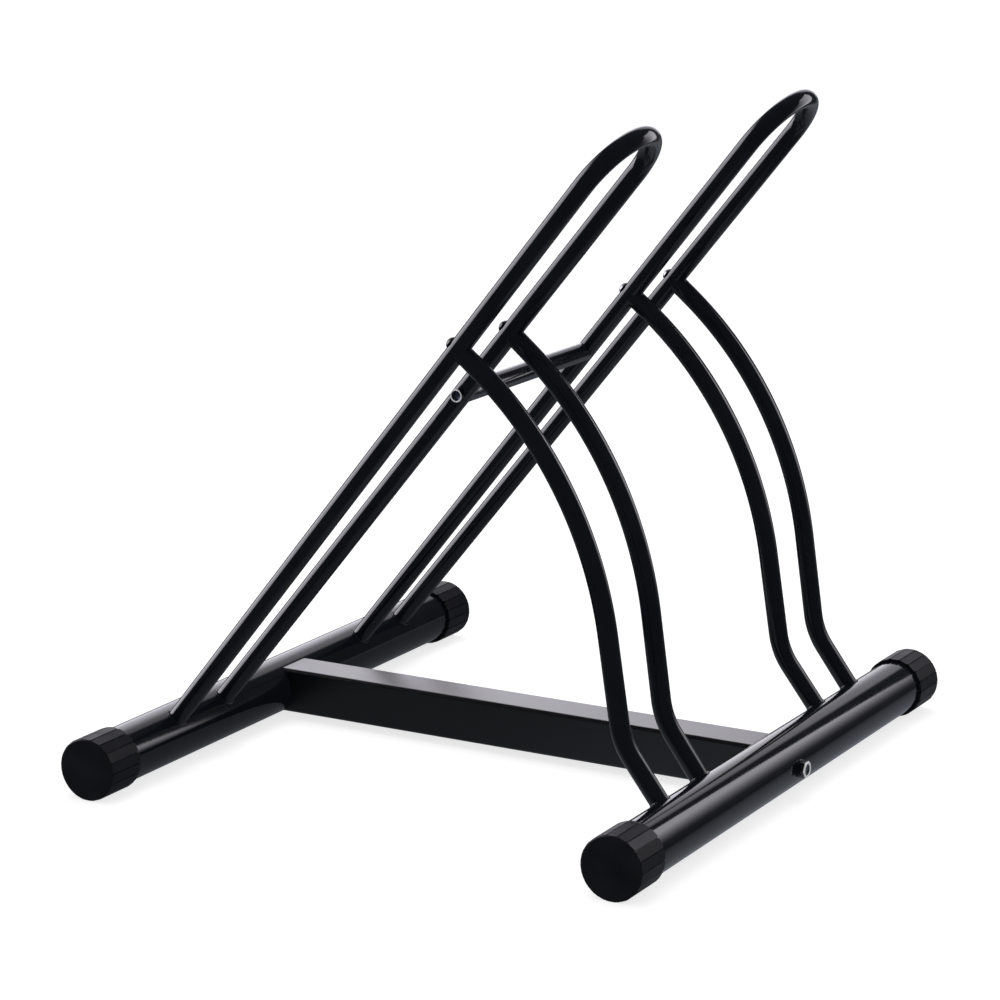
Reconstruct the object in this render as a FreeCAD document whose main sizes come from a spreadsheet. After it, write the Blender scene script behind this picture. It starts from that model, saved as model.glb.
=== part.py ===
# Two-bike floor rack: two round base tubes joined by a square crossbar, two leaning
# wheel hoops, four curved stay bars behind them and a tie bar between the hoops.
#
# Frame: +Z up, floor at z = 0, origin under the middle of the rack. X runs along the
# base tubes, bikes roll in from -Y. Lengths are millimetres and angles are degrees.
import FreeCAD, Part
import math
import os
import Sketcher
from FreeCAD import Placement, Rotation, Vector

os.makedirs("parts", exist_ok=True)
doc = FreeCAD.newDocument("floor_bike_rack")

# ---- driving dimensions --------------------------------------------------------------
DIMENSIONS = {
    # base tubes and their end caps
    "base_spacing": 490, "base_diameter": 48, "base_wall": 1.5, "base_length": 588,
    "cap_depth": 40, "cap_wall": 2.4, "cap_floor": 3, "cap_clearance": 0.1, "cap_bevel": 1.3,
    "cap_lead": 0.6, "rib_count": 18, "rib_groove": 1.1, "rib_groove_depth": 0.7,
    "rib_notch": 1.5,
    # crossbar and the plates that close it
    "bar_side": 40, "bar_wall": 1.5, "bar_corner": 3, "cope_gap": 0.1,
    "plate_thickness": 3, "plate_inset": 7, "plate_clearance": 0.1,
    # hoops: one bent tube each, leaning over the rack
    "rod_diameter": 16.4, "rod_wall": 1.2, "weld_gap": 0.05, "leg_angle": 51,
    "hoop_offset": 149, "hoop_foot_half": 35.8, "hoop_bend_radius": 44.6, "hoop_reach": 647,
    # stay bars: straight at the hoop, a long bow, a straight run, a reverse bend and a foot
    "stay_height": 470.5, "stay_foot_outer": 37, "stay_foot_inner": 33.5, "stay_lead": 21,
    "stay_run": 70, "stay_kick_radius": 61, "stay_foot_turn": 14, "stay_foot_length": 64,
    "stay_tip_trim": 2,
    # tie bar
    "tie_height": 400,
    # seats and holes in the hoop legs
    "seat_width": 12.5, "seat_depth": 0.6, "rod_hole": 6.8,
    # threaded inserts in the stay bars and the tie bar
    "insert_length": 14, "insert_recess": 0.6, "insert_clearance": 0.05,
    # bolts of the hoops: button heads on the stays, hexagon heads on the tie bar
    "bolt_diameter": 6, "thread_clearance": 0.05, "button_diameter": 11, "button_height": 3.3,
    "button_socket": 4, "button_socket_depth": 2, "hex_flats": 10, "hex_height": 4,
    "head_chamfer": 0.6, "head_dish": 6.4, "head_dish_depth": 0.9, "insert_grip": 12,
    # bolts of the crossbar
    "base_bolt_diameter": 8, "base_bolt_flats": 13, "base_bolt_head": 5.3,
    "base_bolt_clearance": 0.5, "saddle_diameter": 16, "saddle_thickness": 1.2,
    "nut_height": 6.5, "bolt_overrun": 3,
}

sheet = doc.addObject("Spreadsheet::Sheet", "Dimensions")
for row, (alias, value) in enumerate(DIMENSIONS.items(), start=1):
    sheet.set(f"A{row}", alias)
    sheet.set(f"B{row}", str(value))
    sheet.setAlias(f"B{row}", alias)
doc.recompute()


def size(alias):
    """One driving dimension, read from the sheet."""
    return float(sheet.get(alias))


def formula(text):
    """A formula over sheet names, written without the sheet's own name."""
    words = []
    for word in text.split():
        words.append("Dimensions." + word if word in DIMENSIONS else word)
    return " ".join(words)


# ---- drawing helpers -----------------------------------------------------------------
def new_body(name):
    return doc.addObject("PartDesign::Body", name)


def new_sketch(body, role, name, lift=None):
    """A sketch on one of the body's origin planes, lifted along its normal."""
    plane = next(item for item in body.Origin.OriginFeatures if item.Role == role)
    sketch = body.newObject("Sketcher::SketchObject", name)
    sketch.AttachmentSupport = [(plane, "")]
    sketch.MapMode = "FlatFace"
    if lift:
        sketch.setExpression("AttachmentOffset.Base.z", formula(lift))
        doc.recompute()
    return sketch


def locate(sketch, geometry, point, across, up):
    """Hold one point of the sketch at the two given formulas."""
    for kind, axis, text in (("DistanceX", -2, across), ("DistanceY", -1, up)):
        if text == "0":
            sketch.addConstraint(Sketcher.Constraint("PointOnObject", geometry, point, axis))
            continue
        start = sketch.evalExpression(formula(text))
        number = sketch.addConstraint(
            Sketcher.Constraint(kind, -1, 1, geometry, point, float(start)))
        sketch.setExpression(f"Constraints[{number}]", formula(text))


def add_circle(sketch, diameter, across="0", up="0"):
    centre = Vector(*[float(sketch.evalExpression(formula(text))) for text in (across, up)], 0)
    radius = float(sketch.evalExpression(formula(diameter))) / 2
    circle = sketch.addGeometry(Part.Circle(centre, Vector(0, 0, 1), radius))
    locate(sketch, circle, 3, across, up)
    number = sketch.addConstraint(Sketcher.Constraint("Diameter", circle, 2 * radius))
    sketch.setExpression(f"Constraints[{number}]", formula(diameter))
    return circle


def add_outline(sketch, corners):
    """A closed outline of straight lines through corners given as pairs of formulas."""
    points = []
    for across, up in corners:
        points.append(Vector(float(sketch.evalExpression(formula(across))),
                             float(sketch.evalExpression(formula(up))), 0))
    lines = []
    for start, end in zip(points, points[1:] + points[:1]):
        lines.append(sketch.addGeometry(Part.LineSegment(start, end)))
    for line, following in zip(lines, lines[1:] + lines[:1]):
        sketch.addConstraint(Sketcher.Constraint("Coincident", line, 2, following, 1))
    for line, (across, up) in zip(lines, corners):
        locate(sketch, line, 1, across, up)
    return lines


def end_at(sketch, piece, point):
    """Which end of a line or arc, 1 or 2, lies at the point."""
    return 1 if sketch.getPoint(piece, 1).distanceToPoint(point) < 0.01 else 2


def add_route(sketch, joints, bulges):
    """Lines and arcs that run smoothly from joint to joint; a line has no bulge point."""
    pieces = []
    for start, end, bulge in zip(joints, joints[1:], bulges):
        curve = Part.Arc(start, bulge, end) if bulge else Part.LineSegment(start, end)
        pieces.append(sketch.addGeometry(curve))
    for before, after, joint in zip(pieces, pieces[1:], joints[1:]):
        sketch.addConstraint(Sketcher.Constraint(
            "Tangent", before, end_at(sketch, before, joint), after, end_at(sketch, after, joint)))
    return pieces


def add_radius(sketch, arc, text):
    start = float(sketch.evalExpression(formula(text)))
    number = sketch.addConstraint(Sketcher.Constraint("Radius", arc, start))
    sketch.setExpression(f"Constraints[{number}]", formula(text))


def add_pipe(body, section, route, edges):
    pipe = body.newObject("PartDesign::AdditivePipe", route.Name + "_pipe")
    pipe.Profile = section
    pipe.Spine = (route, [f"Edge{number + 1}" for number in range(edges)])
    doc.recompute()


def bind(feature, **formulas):
    for name, text in formulas.items():
        feature.setExpression(name, formula(text))


def add_pad(body, sketch, length, both_ways=False, reverse=False):
    pad = body.newObject("PartDesign::Pad", sketch.Name + "_pad")
    pad.Profile = sketch
    pad.Midplane = both_ways
    pad.Reversed = reverse
    bind(pad, Length=length)
    doc.recompute()
    return pad


def add_pocket(body, sketch, length, both_ways=False, reverse=False):
    """Cut the sketch away and make sure that something was cut."""
    before = body.Shape.Volume
    pocket = body.newObject("PartDesign::Pocket", sketch.Name + "_pocket")
    pocket.Profile = sketch
    pocket.Midplane = both_ways
    pocket.Reversed = reverse
    bind(pocket, Length=length)
    doc.recompute()
    if body.Shape.Volume >= before:
        raise RuntimeError(f"{pocket.Name} cuts nothing")
    return pocket


def add_hexagon(sketch, flats):
    """A hexagon across the given flats, about the origin."""
    half_side = f"( {flats} ) / 2 * tan( 30 )"
    corner = f"( {flats} ) / 2 / cos( 30 )"
    half = f"( {flats} ) / 2"
    add_outline(sketch, [
        (corner, "0"), (half_side, half), ("-1 * " + half_side, half),
        ("-1 * " + corner, "0"), ("-1 * " + half_side, "-1 * " + half), (half_side, "-1 * " + half),
    ])


def revolve(body, sketch):
    turned = body.newObject("PartDesign::Revolution", sketch.Name + "_turned")
    turned.Profile = sketch
    turned.ReferenceAxis = (sketch, ["V_Axis"])
    turned.Angle = 360
    doc.recompute()
    return turned


# ---- where things stand --------------------------------------------------------------
rod_radius = size("rod_diameter") / 2
base_radius = size("base_diameter") / 2
axis_height = base_radius + size("cap_clearance") + size("cap_wall")
leg_lean = Rotation(Vector(1, 0, 0), size("leg_angle"))
foot_line = Vector(0, -size("base_spacing") / 2, axis_height)
rear_line = Vector(0, size("base_spacing") / 2, axis_height)

reach = math.hypot(size("hoop_foot_half"), size("hoop_reach"))
leg_splay = math.asin(size("hoop_bend_radius") / reach) - math.asin(size("hoop_foot_half") / reach)
REACH = "sqrt( hoop_foot_half ^ 2 + hoop_reach ^ 2 )"
SPLAY = f"( asin( hoop_bend_radius / {REACH} ) - asin( hoop_foot_half / {REACH} ) )"


def leg_half(height):
    """Half the width of a hoop between its leg axes, at a height along the legs."""
    return size("hoop_foot_half") + height * math.tan(leg_splay)


def hoop_frame(side):
    """X across the hoop, Y up its legs and Z off its upper face; side is +1 or -1."""
    return Placement(foot_line + Vector(side * size("hoop_offset"), 0, 0), leg_lean)


def stay_frame(side, leg):
    """At a leg's axis where its stay bar meets it, Z along the stay bar's end, upwards."""
    height = size("stay_height")
    across = leg * leg_half(height)
    drop = size("base_spacing") * math.sin(math.radians(size("leg_angle")))
    foot_half = size("stay_foot_outer") if leg == side else size("stay_foot_inner")
    tilt = math.degrees(math.atan((leg_half(height) - foot_half) / drop))
    local = Placement(Vector(across, height, 0), Rotation(Vector(0, 1, 0), leg * tilt))
    return hoop_frame(side).multiply(local)


def tie_frame():
    """At the middle of the tie bar, X along it and Z as in the hoops."""
    return Placement(foot_line, leg_lean).multiply(Placement(Vector(0, size("tie_height"), 0), Rotation()))


def leg_axis_frame(side, leg):
    """At a leg's foot, with Z up the leg's own axis."""
    upright = Rotation(Vector(1, 0, 0), -90)
    splay = Rotation(Vector(0, 0, 1), -leg * math.degrees(leg_splay))
    local = Placement(Vector(leg * size("hoop_foot_half"), 0, 0), splay.multiply(upright))
    return hoop_frame(side).multiply(local)


LENGTHWISE = Rotation(Vector(0, 1, 0), 90)
parts = []


def finish(item, label, placement=None):
    """Name a sub-part and put it in its place."""
    item.Label = label
    if placement is not None:
        item.Placement = placement
    parts.append(item)
    return item


def cylinder_tool(name, diameter, height, placement):
    tool = doc.addObject("Part::Cylinder", name)
    bind(tool, Radius=f"( {diameter} ) / 2", Height=height)
    tool.Placement = placement
    return tool


def cut_away(name, base, tools):
    result = base
    for number, tool in enumerate(tools, start=1):
        cut = doc.addObject("Part::Cut", f"{name}_cut{number}")
        cut.Base = result
        cut.Tool = tool
        result = cut
    doc.recompute()
    if result.Shape.Volume >= base.Shape.Volume:
        raise RuntimeError(f"{name} was not cut")
    return result


# ---- base tubes ----------------------------------------------------------------------
# Drawn tube, drilled right through at its middle for the bolt of the crossbar.
def build_base_tube(label, middle):
    body = new_body(label)
    section = new_sketch(body, "YZ_Plane", label + "_section")
    add_circle(section, "base_diameter")
    add_circle(section, "base_diameter - 2 * base_wall")
    add_pad(body, section, "base_length", both_ways=True)
    hole = new_sketch(body, "XZ_Plane", label + "_hole")
    add_circle(hole, "base_bolt_diameter + base_bolt_clearance")
    add_pocket(body, hole, "2 * base_diameter", both_ways=True)
    return finish(body, label, Placement(middle, Rotation()))


# ---- end caps ------------------------------------------------------------------------
# Moulded caps pushed over the tube ends: a closed face with a rounded rim, flat-topped
# ribs parted by narrow grooves, and a scalloped open end. The lowest rib stands on the floor.
def build_cap(label, middle, end):
    body = new_body(label)
    flat_radius = "( base_diameter / 2 + cap_clearance + cap_wall )"
    corner_radius = flat_radius + " / cos( 180 / rib_count )"
    bore_radius = "( base_diameter / 2 + cap_clearance )"

    shell = new_sketch(body, "XZ_Plane", label + "_shell")
    add_outline(shell, [
        ("0", "0"), (corner_radius + " - cap_bevel", "0"), (corner_radius, "cap_bevel"),
        (corner_radius, "cap_depth"), (bore_radius + " + cap_lead", "cap_depth"),
        (bore_radius, "cap_depth - cap_lead"), (bore_radius, "cap_floor"), ("0", "cap_floor"),
    ])
    revolve(body, shell)

    # one groove with half a flat on each side of it, cut all the way along
    ribs = new_sketch(body, "XY_Plane", label + "_ribs")
    half_pitch = "180 / rib_count"
    flat_x = flat_radius + f" * cos( {half_pitch} )"
    flat_y = flat_radius + f" * sin( {half_pitch} )"
    lip_x = f"( {flat_radius} - rib_groove / 2 * sin( {half_pitch} ) ) / cos( {half_pitch} )"
    floor_x = lip_x + " - rib_groove_depth"
    far_x = flat_radius + " * 1.1"
    far_y = f"{far_x} * tan( {half_pitch} )"
    add_outline(ribs, [
        (flat_x, flat_y), (lip_x, "rib_groove / 2"), (floor_x, "rib_groove / 4"),
        (floor_x, "rib_groove / -4"), (lip_x, "rib_groove / -2"), (flat_x, "-1 * " + flat_y),
        (far_x, "-1 * " + far_y), (far_x, far_y),
    ])
    groove = add_pocket(body, ribs, "cap_depth", reverse=True)

    # notch where a groove runs out at the open end
    notch = new_sketch(body, "YZ_Plane", label + "_notch")
    add_outline(notch, [
        ("rib_notch", "cap_depth"), ("rib_notch / 2", "cap_depth - rib_notch"),
        ("rib_notch / -2", "cap_depth - rib_notch"), ("-1 * rib_notch", "cap_depth"),
    ])
    scallop = add_pocket(body, notch, "base_diameter", reverse=True)

    pattern = body.newObject("PartDesign::PolarPattern", label + "_pattern")
    pattern.Originals = [groove, scallop]
    axis = next(item for item in body.Origin.OriginFeatures if item.Role == "Z_Axis")
    pattern.Axis = (axis, [""])
    pattern.Angle = 360
    bind(pattern, Occurrences="rib_count")
    body.Tip = pattern
    doc.recompute()

    face = size("base_length") / 2 + size("cap_floor")
    half_rib = Rotation(Vector(0, 0, 1), 180 / size("rib_count"))
    turn = Rotation(Vector(0, 1, 0), -90 * end).multiply(half_rib)
    return finish(body, label, Placement(middle + Vector(end * face, 0, 0), turn))


# ---- crossbar ------------------------------------------------------------------------
# Square tube, saddle-cut at both ends to sit against the round base tubes.
def add_rounded_square(sketch, side, corner):
    half = f"( {side} ) / 2"
    full = float(sketch.evalExpression(formula(half)))
    curve = float(sketch.evalExpression(formula(corner)))
    inner = full - curve
    sides = []
    arcs = []
    for quarter in range(4):
        turn = Rotation(Vector(0, 0, 1), 90 * quarter)
        start = turn.multVec(Vector(full, -inner, 0))
        end = turn.multVec(Vector(full, inner, 0))
        centre = turn.multVec(Vector(inner, inner, 0))
        sides.append(sketch.addGeometry(Part.LineSegment(start, end)))
        circle = Part.Circle(centre, Vector(0, 0, 1), curve)
        begin = math.radians(90 * quarter)
        arcs.append(sketch.addGeometry(Part.ArcOfCircle(circle, begin, begin + math.pi / 2)))
    for quarter in range(4):
        following = (quarter + 1) % 4
        sketch.addConstraint(Sketcher.Constraint("Tangent", sides[quarter], 2, arcs[quarter], 1))
        sketch.addConstraint(Sketcher.Constraint("Tangent", arcs[quarter], 2, sides[following], 1))
        sketch.addConstraint(Sketcher.Constraint("Horizontal" if quarter % 2 else "Vertical",
                                                 sides[quarter]))
    for quarter in range(1, 4):
        sketch.addConstraint(Sketcher.Constraint("Equal", arcs[0], arcs[quarter]))
    number = sketch.addConstraint(Sketcher.Constraint("Radius", arcs[0], curve))
    sketch.setExpression(f"Constraints[{number}]", formula(corner))
    for kind, line in (("DistanceX", sides[0]), ("DistanceX", sides[2]),
                       ("DistanceY", sides[1]), ("DistanceY", sides[3])):
        sign = 1 if line in (sides[0], sides[1]) else -1
        number = sketch.addConstraint(Sketcher.Constraint(kind, -1, 1, line, 1, sign * full))
        sketch.setExpression(f"Constraints[{number}]", formula(f"{sign} * {half}"))


def build_crossbar():
    body = new_body("crossbar")
    section = new_sketch(body, "XZ_Plane", "crossbar_section")
    add_rounded_square(section, "bar_side", "bar_corner")
    add_rounded_square(section, "bar_side - 2 * bar_wall", "bar_corner - bar_wall")
    add_pad(body, section, "base_spacing", both_ways=True)
    saddles = new_sketch(body, "YZ_Plane", "crossbar_saddles")
    for across in ("base_spacing / 2", "base_spacing / -2"):
        add_circle(saddles, "base_diameter + 2 * cope_gap", across, "0")
    add_pocket(body, saddles, "2 * bar_side", both_ways=True)
    return finish(body, "crossbar", Placement(Vector(0, 0, axis_height), Rotation()))


# Plate welded inside each end of the crossbar, with a weld nut behind it for the bolt.
def plate_face():
    """Distance of a plate's outer face from the middle of the crossbar."""
    return size("base_spacing") / 2 - base_radius - size("plate_inset")


def build_end_plate(label, way):
    body = new_body(label)
    outline = new_sketch(body, "XZ_Plane", label + "_outline")
    add_rounded_square(outline, "bar_side - 2 * bar_wall - 2 * plate_clearance", "bar_corner - bar_wall")
    add_circle(outline, "base_bolt_diameter + base_bolt_clearance")
    add_pad(body, outline, "plate_thickness")
    turn = Rotation(Vector(0, 0, 1), 0 if way > 0 else 180)
    place = Placement(Vector(0, way * plate_face(), axis_height), turn)
    if body.Shape.BoundBox.YMax > 0.001:
        place = place.multiply(Placement(Vector(0, -size("plate_thickness"), 0), Rotation()))
    return finish(body, label, place)


def build_weld_nut(label, way):
    body = new_body(label)
    outline = new_sketch(body, "XY_Plane", label + "_outline")
    add_hexagon(outline, "base_bolt_flats")
    add_circle(outline, "base_bolt_diameter + 2 * thread_clearance")
    add_pad(body, outline, "nut_height")
    turn = Rotation(Vector(1, 0, 0), 90 * way)
    back = plate_face() - size("plate_thickness")
    return finish(body, label, Placement(Vector(0, way * back, axis_height), turn))


# ---- bolts ---------------------------------------------------------------------------
# Every bolt is drawn standing up: its head sits on z = 0 and its shank hangs below.
def add_shank(body, label, diameter, length):
    shank = new_sketch(body, "XY_Plane", label + "_shank")
    add_circle(shank, diameter)
    add_pad(body, shank, length, reverse=True)


def build_hex_bolt(label, flats, height, diameter, length, placement, dished=False):
    body = new_body(label)
    head = new_sketch(body, "XY_Plane", label + "_head")
    add_hexagon(head, flats)
    add_pad(body, head, height)
    # the head's top corners are turned off round
    crown = new_sketch(body, "XZ_Plane", label + "_crown")
    corner = f"( {flats} ) / 2 / cos( 30 )"
    add_outline(crown, [
        (f"( {flats} ) / 2", height), (f"{corner} + head_chamfer", height),
        (f"{corner} + head_chamfer", f"{height} - head_chamfer * 1.5"),
    ])
    groove = body.newObject("PartDesign::Groove", label + "_crown_cut")
    groove.Profile = crown
    groove.ReferenceAxis = (crown, ["V_Axis"])
    groove.Angle = 360
    doc.recompute()
    if dished:
        dish = new_sketch(body, "XY_Plane", label + "_dish", lift=height)
        add_circle(dish, "head_dish")
        add_pocket(body, dish, "head_dish_depth")
    add_shank(body, label, diameter, length)
    return finish(body, label, placement)


def build_button_bolt(label, length, placement):
    body = new_body(label)
    dome = new_sketch(body, "XZ_Plane", label + "_dome")
    radius = size("button_diameter") / 2
    height = size("button_height")
    rim = height / 6
    top = 0.45 * radius
    centre = (height ** 2 + top ** 2 - radius ** 2 - rim ** 2) / (2 * (height - rim))
    ball = math.hypot(radius, rim - centre)
    middle = (math.atan2(rim - centre, radius) + math.atan2(height - centre, top)) / 2
    bulge = Vector(ball * math.cos(middle), centre + ball * math.sin(middle), 0)
    lines = add_outline(dome, [
        ("0", "0"), ("button_diameter / 2", "0"), ("button_diameter / 2", "button_height / 6"),
        ("button_diameter * 0.225", "button_height"), ("0", "button_height"),
    ])
    dome.toggleConstruction(lines[2])
    arc = dome.addGeometry(Part.Arc(Vector(radius, rim, 0), bulge, Vector(top, height, 0)))
    dome.addConstraint(Sketcher.Constraint("Coincident", lines[1], 2, arc, 1))
    dome.addConstraint(Sketcher.Constraint("Coincident", arc, 2, lines[3], 1))
    dome.addConstraint(Sketcher.Constraint("PointOnObject", arc, 3, -2))
    revolve(body, dome)
    socket = new_sketch(body, "XY_Plane", label + "_socket", lift="button_height")
    add_hexagon(socket, "button_socket")
    add_pocket(body, socket, "button_socket_depth")
    add_shank(body, label, "bolt_diameter", length)
    return finish(body, label, placement)


# Saddle washer between a bolt's head and the round base tube: flat outside, hollow inside.
def build_saddle_washer(label, way):
    body = new_body(label)
    disc = new_sketch(body, "XZ_Plane", label + "_disc")
    add_circle(disc, "saddle_diameter")
    add_circle(disc, "base_bolt_diameter + base_bolt_clearance")
    add_pad(body, disc, "base_diameter + 2 * saddle_thickness", both_ways=True)
    hollow = new_sketch(body, "YZ_Plane", label + "_hollow")
    add_circle(hollow, "base_diameter + 2 * weld_gap")
    add_pocket(body, hollow, "2 * saddle_diameter", both_ways=True)
    far = new_sketch(body, "YZ_Plane", label + "_far_side")
    inner = f"{way} * base_diameter / 4"
    outer = f"{-way} * base_diameter"
    add_outline(far, [(inner, "saddle_diameter"), (outer, "saddle_diameter"),
                      (outer, "-1 * saddle_diameter"), (inner, "-1 * saddle_diameter")])
    add_pocket(body, far, "2 * saddle_diameter", both_ways=True)
    middle = rear_line if way > 0 else foot_line
    return finish(body, label, Placement(middle, Rotation()))


# ---- wheel hoops ---------------------------------------------------------------------
# One length of tube bent round at the top. Its legs open a little towards the bend, are
# saddle-cut and welded on the entry tube, and have spot-faced seats where bolts go through.
def build_hoop(label, side):
    body = new_body(label)
    route = new_sketch(body, "XY_Plane", label + "_route")
    foot = size("hoop_foot_half")
    radius = size("hoop_bend_radius")
    top = size("hoop_reach")
    touch = Vector(radius * math.cos(leg_splay), top - radius * math.sin(leg_splay), 0)
    opposite = Vector(-touch.x, touch.y, 0)
    pieces = add_route(route, [Vector(foot, 0, 0), touch, opposite, Vector(-foot, 0, 0)],
                       [None, Vector(0, top + radius, 0), None])
    right, bend, left = pieces
    locate(route, right, 1, "hoop_foot_half", "0")
    locate(route, left, 2, "-1 * hoop_foot_half", "0")
    locate(route, bend, 3, "0", "hoop_reach")
    add_radius(route, bend, "hoop_bend_radius")

    # the section stands square to the splayed leg, at its foot
    section = new_sketch(body, "XZ_Plane", label + "_section")
    square = Rotation(Vector(0, -1, 0), math.degrees(leg_splay))
    section.AttachmentOffset = Placement(Vector(size("hoop_foot_half"), 0, 0), square)
    section.setExpression("AttachmentOffset.Base.x", formula("hoop_foot_half"))
    add_circle(section, "rod_diameter")
    add_circle(section, "rod_diameter - 2 * rod_wall")
    add_pipe(body, section, route, len(pieces))

    saddle = new_sketch(body, "YZ_Plane", label + "_saddle")
    add_circle(saddle, "base_diameter + 2 * weld_gap")
    add_pocket(body, saddle, "4 * hoop_bend_radius", both_ways=True)

    # bolt holes of the stay bars, square through both legs, and the seats of their heads
    across = f"( hoop_foot_half + stay_height * tan( {SPLAY} ) )"
    holes = new_sketch(body, "XY_Plane", label + "_stay_holes")
    seats = new_sketch(body, "XY_Plane", label + "_stay_seats", lift="rod_diameter / 2 - seat_depth")
    for leg in ("", "-1 * "):
        add_circle(holes, "rod_hole", leg + across, "stay_height")
        add_circle(seats, "seat_width", leg + across, "stay_height")
    add_pocket(body, holes, "2 * rod_diameter", both_ways=True)
    add_pocket(body, seats, "rod_diameter", reverse=True)

    # bolt hole of the tie bar through the inner leg, and its seat inside the slot
    inner_leg = -side
    hole = new_sketch(body, "YZ_Plane", label + "_tie_hole")
    add_circle(hole, "rod_hole", "tie_height", "0")
    add_pocket(body, hole, "4 * hoop_bend_radius", reverse=inner_leg > 0)
    lift = leg_half(size("tie_height")) - rod_radius + size("seat_depth")
    seat = new_sketch(body, "YZ_Plane", label + "_tie_seat")
    seat.AttachmentOffset = Placement(Vector(0, 0, inner_leg * lift), Rotation())
    add_circle(seat, "seat_width", "tie_height", "0")
    add_pocket(body, seat, "rod_diameter / 2", reverse=inner_leg < 0)
    return finish(body, label, hoop_frame(side))


# ---- stay bars -----------------------------------------------------------------------
# Bent tube: square off the hoop leg, a long bow, a straight run, a reverse bend and a
# straight foot that is welded on the rear base tube. Both ends are saddle-cut.
def build_stay(label, side, leg):
    body = new_body(label + "_tube")
    frame = stay_frame(side, leg)
    kick = size("stay_kick_radius")
    lean = math.radians(size("leg_angle"))
    target = Vector(size("base_spacing") * math.cos(lean) - size("stay_height"),
                    -size("base_spacing") * math.sin(lean), 0)
    last = math.radians(size("stay_foot_turn"))
    lead_start = Vector(0, -size("stay_tip_trim"), 0)
    lead_end = Vector(0, -size("stay_lead"), 0)

    def heading(angle):
        return Vector(-math.sin(angle), -math.cos(angle), 0)

    def inside(angle):
        return Vector(-math.cos(angle), math.sin(angle), 0)

    def beyond_bow(turn):
        """From the bow's end to the foot's end when the bow has turned so far."""
        return (heading(turn) * size("stay_run") + (inside(last) - inside(turn)) * kick
                + heading(last) * size("stay_foot_length"))

    def bow_miss(turn):
        """How far a bow that turns so much is from reaching over, for its reach down."""
        gap = target - lead_end - beyond_bow(turn)
        return gap.x - gap.y * math.tan(turn / 2)

    # the bow turns as far as it must to bring the foot onto the base tube's axis
    low = last
    high = math.radians(85)
    for step in range(60):
        bow_turn = (low + high) / 2
        if bow_miss(bow_turn) < 0:
            low = bow_turn
        else:
            high = bow_turn
    gap = target - lead_end - beyond_bow(bow_turn)
    bow = -gap.y / math.sin(bow_turn)
    bow_centre = lead_end + inside(0) * bow
    bow_end = bow_centre - inside(bow_turn) * bow
    kick_start = bow_end + heading(bow_turn) * size("stay_run")
    kick_centre = kick_start - inside(bow_turn) * kick
    kick_end = kick_centre + inside(last) * kick

    route = new_sketch(body, "YZ_Plane", label + "_route")
    middle_of_bow = bow_centre - inside(bow_turn / 2) * bow
    middle_of_kick = kick_centre + inside((bow_turn + last) / 2) * kick
    pieces = add_route(route, [lead_start, lead_end, bow_end, kick_start, kick_end, target],
                       [None, middle_of_bow, None, middle_of_kick, None])
    lead, bow_arc, straight, kick_arc, foot = pieces
    locate(route, lead, 1, "0", "-1 * stay_tip_trim")
    locate(route, lead, 2, "0", "-1 * stay_lead")
    locate(route, foot, 2, "base_spacing * cos( leg_angle ) - stay_height",
           "-1 * base_spacing * sin( leg_angle )")
    add_radius(route, kick_arc, "stay_kick_radius")
    for line, length in ((straight, "stay_run"), (foot, "stay_foot_length")):
        number = route.addConstraint(Sketcher.Constraint("Distance", line, size(length)))
        route.setExpression(f"Constraints[{number}]", formula(length))
    number = route.addConstraint(
        Sketcher.Constraint("Angle", lead, 1, foot, 1, -math.radians(size("stay_foot_turn"))))
    route.setExpression(f"Constraints[{number}]", formula("-1 * stay_foot_turn"))

    section = new_sketch(body, "XY_Plane", label + "_section", lift="-1 * stay_tip_trim")
    add_circle(section, "rod_diameter")
    add_circle(section, "rod_diameter - 2 * rod_wall")
    add_pipe(body, section, route, len(pieces))
    body.Placement = frame
    doc.recompute()

    leg_tool = cylinder_tool(label + "_leg", "rod_diameter + 2 * cope_gap", "hoop_reach",
                             leg_axis_frame(side, leg))
    base_tool = cylinder_tool(label + "_base", "base_diameter + 2 * weld_gap", "base_length",
                              Placement(rear_line - Vector(size("base_length") / 2, 0, 0), LENGTHWISE))
    return finish(cut_away(label, body, [leg_tool, base_tool]), label)


# ---- tie bar -------------------------------------------------------------------------
# Short tube between the inner legs of the two hoops, saddle-cut at both ends.
def tie_half():
    """From the middle of the tie bar to the axis of an inner leg."""
    return size("hoop_offset") - leg_half(size("tie_height"))


def build_tie_bar():
    body = new_body("tie_bar_tube")
    section = new_sketch(body, "YZ_Plane", "tie_bar_section")
    add_circle(section, "rod_diameter")
    add_circle(section, "rod_diameter - 2 * rod_wall")
    across = f"( hoop_offset - hoop_foot_half - tie_height * tan( {SPLAY} ) )"
    add_pad(body, section, f"2 * ( {across} - stay_tip_trim )", both_ways=True)
    body.Placement = tie_frame()
    tools = []
    for side in (1, -1):
        tools.append(cylinder_tool(f"tie_bar_leg{side + 2}", "rod_diameter + 2 * cope_gap",
                                   "hoop_reach", leg_axis_frame(side, -side)))
    return finish(cut_away("tie_bar", body, tools), "tie_bar")


# Threaded steel plug pressed into a tube end: drawn hanging from z = 0.
def build_insert(label, placement):
    body = new_body(label)
    plug = new_sketch(body, "XY_Plane", label + "_plug")
    add_circle(plug, "rod_diameter - 2 * rod_wall - 2 * insert_clearance")
    add_circle(plug, "bolt_diameter + 2 * thread_clearance")
    add_pad(body, plug, "insert_length", reverse=True)
    return finish(body, label, placement)


# ---- assembly ------------------------------------------------------------------------
for label, middle in (("entry_base_tube", foot_line), ("rear_base_tube", rear_line)):
    build_base_tube(label, middle)
for label, middle in (("entry_cap", foot_line), ("rear_cap", rear_line)):
    build_cap(label + "_left", middle, -1)
    build_cap(label + "_right", middle, 1)

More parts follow.
